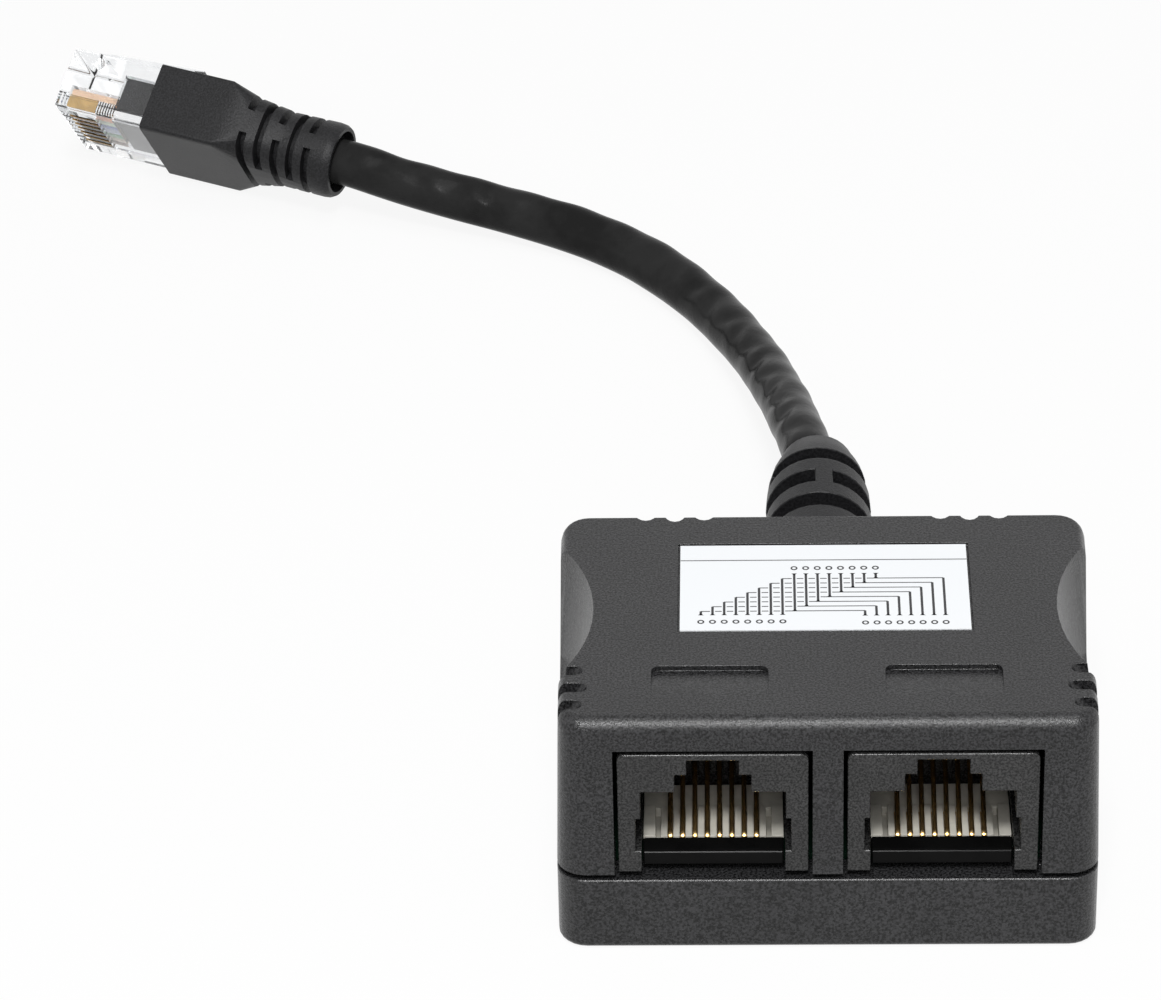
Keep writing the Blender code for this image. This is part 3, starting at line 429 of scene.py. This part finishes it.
def printed_ring(bm, x, y):
    """A small ring that marks one pin's place."""
    section = ((ring_inner, ink_floor), (ring_outer, ink_floor), (ring_outer, ink_top), (ring_inner, ink_top))
    turns = [2 * pi * i / ring_sides for i in range(ring_sides)]
    rings = [[bm.verts.new((x + radius * cos(t), y + radius * sin(t), z)) for t in turns]
             for radius, z in section]
    for near, far in zip(rings, rings[1:] + rings[:1]):
        for i in range(ring_sides):
            j = (i + 1) % ring_sides
            bm.faces.new((near[j], near[i], far[i], far[j]))


black_ink, grey_ink = bmesh.new(), bmesh.new()
printed_bar(grey_ink, -rule_reach, rule_y - line_width / 2, rule_reach, rule_y + line_width / 2)
for i in range(pin_count):
    pin_x = pin_first_x + i * pin_pitch
    left_x, right_x = left_first_x + i * left_pitch, right_first_x + i * right_pitch
    line_y = line_first_y + i * line_pitch
    for x, low, high in ((pin_x, line_y, pin_top_y), (left_x, left_foot_y, line_y),
                         (right_x, right_foot_y, line_y)):
        printed_bar(black_ink, x - drop_width / 2, low, x + drop_width / 2, high)
    printed_arrow(black_ink, pin_x, pin_top_y, False)
    printed_arrow(black_ink, pin_x, line_y, True)
    printed_arrow(black_ink, left_x, left_foot_y, True)
    printed_arrow(black_ink, right_x, right_foot_y, True)
    printed_ring(black_ink, pin_x, ring_row_top_y)
    printed_ring(black_ink, left_x, ring_row_left_y)
    printed_ring(black_ink, right_x, ring_row_right_y)
    crossings = [left_first_x + k * left_pitch for k in range(i + 1, pin_count)]
    crossings += [pin_first_x + k * pin_pitch for k in range(i)]
    ends = [left_x] + [x + side * crossing_gap for x in sorted(crossings) for side in (-1, 1)] + [right_x]
    for start, stop in zip(ends[::2], ends[1::2]):
        printed_bar(grey_ink, start, line_y - line_width / 2, stop, line_y + line_width / 2)
diagram = finished("label_print_black", black_ink, plain_look("black_ink", (0.02, 0.02, 0.022), 0.5))
fine_lines = finished("label_print_grey", grey_ink, plain_look("grey_ink", (0.07, 0.07, 0.075), 0.5))

# Jacks
# Each is one grey PBT moulding with a stepped mouth, closed below by a glossy black bar, and with a
# natural nylon carrier on its floor whose slots hold eight gilded spring wires.
jack_look = plain_look("jack_grey_pbt", (0.024, 0.024, 0.024), 0.26, specular=0.30)
add_wear(jack_look, 240.0, 0.10, 0.04, pits=add_grain(jack_look, 5200.0, 0.00003, 2.0), pit_shade=0.7)
bar_look = plain_look("gloss_black_pbt", (0.004, 0.004, 0.004), 0.16, specular=0.05)
add_wear(bar_look, 300.0, 0.15, 0.04)
carrier_look = plain_look("natural_nylon", (0.56, 0.54, 0.48), 0.42, specular=0.4)
add_wear(carrier_look, 500.0, 0.08, 0.06)
gold_look = plain_look("gold_plating", (0.62, 0.41, 0.17), 0.20, metallic=1.0)
add_wear(gold_look, 900.0, 0.10, 0.06)

jack_edge, bar_edge = 0.0001, 0.00013
spring_half_width, spring_half_thickness, spring_squareness = 0.00021, 0.00011, 6
spring_sides, spring_bend = 16, 0.00045
contact_count, contact_pitch = 8, 0.00102
contact_line = ((-0.00445, 0.0075), (-0.00445, 0.00816), (-0.01199, 0.00816), (-0.01229, 0.00846),
                (-0.01229, 0.00879), (-0.01199, 0.009015), (-0.00365, 0.01305))
jack_middle = 0.0094


def rounded_bends(points, radius, parts=5):
    """The line with each inner corner turned into a short arc."""
    points = [Vector(p) for p in points]
    path = [points[0]]
    for a, b, c in zip(points, points[1:], points[2:]):
        reach = min(radius, (a - b).length / 2.1, (c - b).length / 2.1)
        start, stop = b + (a - b).normalized() * reach, b + (c - b).normalized() * reach
        for k in range(parts + 1):
            t = k / parts
            path.append((1 - t) ** 2 * start + 2 * t * (1 - t) * b + t * t * stop)
    path.append(points[-1])
    return path


def contact_row_tree():
    """A row of one piece along X, centred, with its count, pitch and material as named inputs."""
    tree = bpy.data.node_groups.new("contact_row", "GeometryNodeTree")
    tree.interface.new_socket("Geometry", in_out="INPUT", socket_type="NodeSocketGeometry")
    tree.interface.new_socket("Count", in_out="INPUT", socket_type="NodeSocketInt")
    tree.interface.new_socket("Pitch", in_out="INPUT", socket_type="NodeSocketFloat")
    tree.interface.new_socket("Middle X", in_out="INPUT", socket_type="NodeSocketFloat")
    tree.interface.new_socket("Finish", in_out="INPUT", socket_type="NodeSocketMaterial")
    tree.interface.new_socket("Geometry", in_out="OUTPUT", socket_type="NodeSocketGeometry")
    given = tree.nodes.new("NodeGroupInput")
    result = tree.nodes.new("NodeGroupOutput")
    line = tree.nodes.new("GeometryNodeMeshLine")
    spread = tree.nodes.new("ShaderNodeMath")
    spread.operation = "MULTIPLY_ADD"
    gaps = tree.nodes.new("ShaderNodeMath")
    gaps.operation = "SUBTRACT"
    gaps.inputs[1].default_value = 1.0
    half = tree.nodes.new("ShaderNodeMath")
    half.operation = "MULTIPLY"
    half.inputs[1].default_value = -0.5
    start = tree.nodes.new("ShaderNodeCombineXYZ")
    step = tree.nodes.new("ShaderNodeCombineXYZ")
    on_points = tree.nodes.new("GeometryNodeInstanceOnPoints")
    realize = tree.nodes.new("GeometryNodeRealizeInstances")
    paint = tree.nodes.new("GeometryNodeSetMaterial")
    link = tree.links.new
    link(given.outputs["Count"], gaps.inputs[0])
    link(given.outputs["Pitch"], half.inputs[0])
    link(gaps.outputs[0], spread.inputs[0])
    link(half.outputs[0], spread.inputs[1])
    link(given.outputs["Middle X"], spread.inputs[2])
    link(spread.outputs[0], start.inputs["X"])
    link(given.outputs["Pitch"], step.inputs["X"])
    link(given.outputs["Count"], line.inputs["Count"])
    link(start.outputs[0], line.inputs["Start Location"])
    link(step.outputs[0], line.inputs["Offset"])
    link(line.outputs[0], on_points.inputs["Points"])
    link(given.outputs["Geometry"], on_points.inputs["Instance"])
    link(on_points.outputs[0], realize.inputs[0])
    link(realize.outputs[0], paint.inputs["Geometry"])
    link(given.outputs["Finish"], paint.inputs["Material"])
    link(paint.outputs[0], result.inputs["Geometry"])
    return tree


contact_row = contact_row_tree()


def repeated(name, bm, count, pitch, middle, look):
    """One plain mesh with the bmesh's piece repeated along X by the contact row."""
    pattern = bpy.data.meshes.new(f"{name}_pattern")
    bm.to_mesh(pattern)
    bm.free()
    pattern.shade_smooth()
    pattern.set_sharp_from_angle(angle=radians(50))
    source = bpy.data.objects.new(f"{name}_source", pattern)
    scene.collection.objects.link(source)
    row = source.modifiers.new("row", "NODES")
    row.node_group = contact_row
    values = {"Count": count, "Pitch": pitch, "Middle X": middle, "Finish": look}
    for item in contact_row.interface.items_tree:
        if item.item_type == "SOCKET" and item.in_out == "INPUT" and item.name in values:
            row[item.identifier] = values[item.name]
    mesh = bpy.data.meshes.new_from_object(source.evaluated_get(bpy.context.evaluated_depsgraph_get()))
    bpy.data.objects.remove(source, do_unlink=True)
    made = bpy.data.objects.new(name, mesh)
    scene.collection.objects.link(made)
    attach(made, "root")
    return made


def spring_section(distance, angle):
    """The radius of a flat strip with rounded edges, across which the angle starts at its side."""
    wide = abs(cos(angle)) / spring_half_width
    thick = abs(sin(angle)) / spring_half_thickness
    return (wide ** spring_squareness + thick ** spring_squareness) ** (-1 / spring_squareness)


carrier_half, carrier_front, carrier_rear, carrier_foot = 0.0058, -0.0125, -0.0049, 0.0077
slot_floor, rib_top, rib_rear, shelf_top = 0.00795, 0.00907, -0.0082, 0.0088
rib_width, rib_sunk, side_rail = 0.00054, 0.0001, 0.0048
rib_edge, carrier_edge = 0.00004, 0.00005


def box(bm, low, high):
    """A closed box between two corners."""
    corners = [(x, y, z) for x in (low[0], high[0]) for y in (low[1], high[1]) for z in (low[2], high[2])]
    v = [bm.verts.new(corner) for corner in corners]
    for a, b, c, d in ((0, 1, 3, 2), (4, 6, 7, 5), (0, 4, 5, 1), (2, 3, 7, 6), (0, 2, 6, 4), (1, 5, 7, 3)):
        bm.faces.new((v[a], v[b], v[c], v[d]))


def broken(bm, width):
    """Bevels every edge a little, as a moulding leaves it."""
    bmesh.ops.bevel(bm, geom=list(bm.edges), offset=width, segments=2, affect="EDGES", profile=0.5)
    bmesh.ops.recalc_face_normals(bm, faces=bm.faces)


def carrier_rib(bm):
    """One rib between two contacts, set a little into the carrier's floor: square in front, round behind."""
    half = rib_width / 2
    round_y = rib_rear - half
    plan = [(-half, carrier_front), (half, carrier_front), (half, round_y)]
    for turn in range(30, 180, 30):
        plan.append((half * cos(radians(turn)), round_y + half * sin(radians(turn))))
    plan.append((-half, round_y))
    low = [bm.verts.new((x, y, slot_floor - rib_sunk)) for x, y in plan]
    high = [bm.verts.new((x, y, rib_top)) for x, y in plan]
    bm.faces.new(list(reversed(low)))
    bm.faces.new(high)
    for i in range(len(plan)):
        j = (i + 1) % len(plan)
        bm.faces.new((low[i], low[j], high[j], high[i]))
    broken(bm, rib_edge)


for side, sign in (("left", -1), ("right", 1)):
    stand_in(f"{side}_jack_housing", jack_look, jack_edge)
    stand_in(f"{side}_jack_bar", bar_look, bar_edge)
    middle = sign * jack_middle
    low_x, high_x = middle - carrier_half, middle + carrier_half
    bm = bmesh.new()
    box(bm, (low_x, carrier_front, carrier_foot), (high_x, rib_rear, slot_floor))
    box(bm, (low_x, rib_rear, carrier_foot), (high_x, carrier_rear, shelf_top))
    for out in (-1, 1):
        ends = sorted((middle + out * side_rail, middle + out * carrier_half))
        box(bm, (ends[0], carrier_front, slot_floor), (ends[1], rib_rear, rib_top))
    bmesh.ops.recalc_face_normals(bm, faces=bm.faces)
    carrier = finished(f"{side}_carrier_base", bm, carrier_look, 30.0)
    softened = carrier.modifiers.new("broken_edges", "BEVEL")
    softened.width, softened.segments = carrier_edge, 2
    bm = bmesh.new()
    carrier_rib(bm)
    ribs = repeated(f"{side}_carrier_ribs", bm, contact_count + 1, contact_pitch, middle, carrier_look)
    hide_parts(f"{side}_contact_carrier")
    bm = bmesh.new()
    bends = rounded_bends([(0.0, y, z) for y, z in contact_line], spring_bend)
    tube(bm, bends, spring_section, spring_sides)
    contacts = repeated(f"{side}_jack_contacts", bm, contact_count, contact_pitch, middle, gold_look)
    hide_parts(*[f"{side}_contact_{i}" for i in range(1, contact_count + 1)])

# Circuit board and its core wires
# A small board under the jacks, which nobody sees until the box is opened. The eight cores of the
# lead fan out to its rear edge.
board_look = plain_look("board_green", (0.004, 0.018, 0.010), 0.35, specular=0.3)
add_wear(board_look, 400.0, 0.15, 0.05)
repainted("circuit_board", board_look)
core_colours = ((0.80, 0.55, 0.38), (0.72, 0.22, 0.04), (0.55, 0.72, 0.55), (0.03, 0.10, 0.42),
                (0.52, 0.60, 0.78), (0.04, 0.30, 0.09), (0.62, 0.50, 0.40), (0.20, 0.09, 0.04))
for i, colour in enumerate(core_colours):
    look = plain_look(f"core_insulation_{i + 1}", colour, 0.35)
    add_wear(look, 700.0, 0.08, 0.05)
    for kind in ("core_wire", "plug_wire"):
        repainted(f"{kind}_{i + 1}", look)

# Strain relief and plug boot
# Both are soft matt PVC, moulded over the lead with slots left open so that they bend with it.
soft_edge, soft_sharp = 0.00008, 30.0
soft_look = plain_look("soft_pvc_black", (0.012, 0.012, 0.013), 0.42, specular=0.20)
add_wear(soft_look, 120.0, 0.12, 0.05, pits=add_grain(soft_look, 5200.0, 0.00004, 2.0), pit_shade=0.45)
relief = stand_in("strain_relief", soft_look, soft_edge, soft_sharp)
boot = stand_in("plug_boot", soft_look, soft_edge, soft_sharp)

# Plug
# Clear polycarbonate in one moulding with its latch, crimped over eight gilded blades. The coloured
# cores and the black overmould show through it.
clear_look = plain_look("clear_polycarbonate", (0.93, 0.94, 0.95), 0.05)
clear_shader = clear_look.node_tree.nodes["Principled BSDF"]
clear_shader.inputs["Transmission Weight"].default_value = 1.0
clear_shader.inputs["IOR"].default_value = 1.45
add_grain(clear_look, 260.0, 0.000005, 2.0)
plug = stand_in("plug_body", clear_look, sharp=30.0)
for i in range(1, contact_count + 1):
    repainted(f"plug_contact_{i}", gold_look)

# The lead and the pieces on it
# Its free length runs from the strain relief's tip to the boot's tail, seen from end to end. The relief,
# the boot, the plug and the plug's blades and wires are gathered in one list.
on_lead = [relief, boot, plug]
on_lead += [nodes[f"plug_contact_{i}"] for i in range(1, contact_count + 1)]
on_lead += [nodes[f"plug_wire_{i}"] for i in range(1, contact_count + 1)]
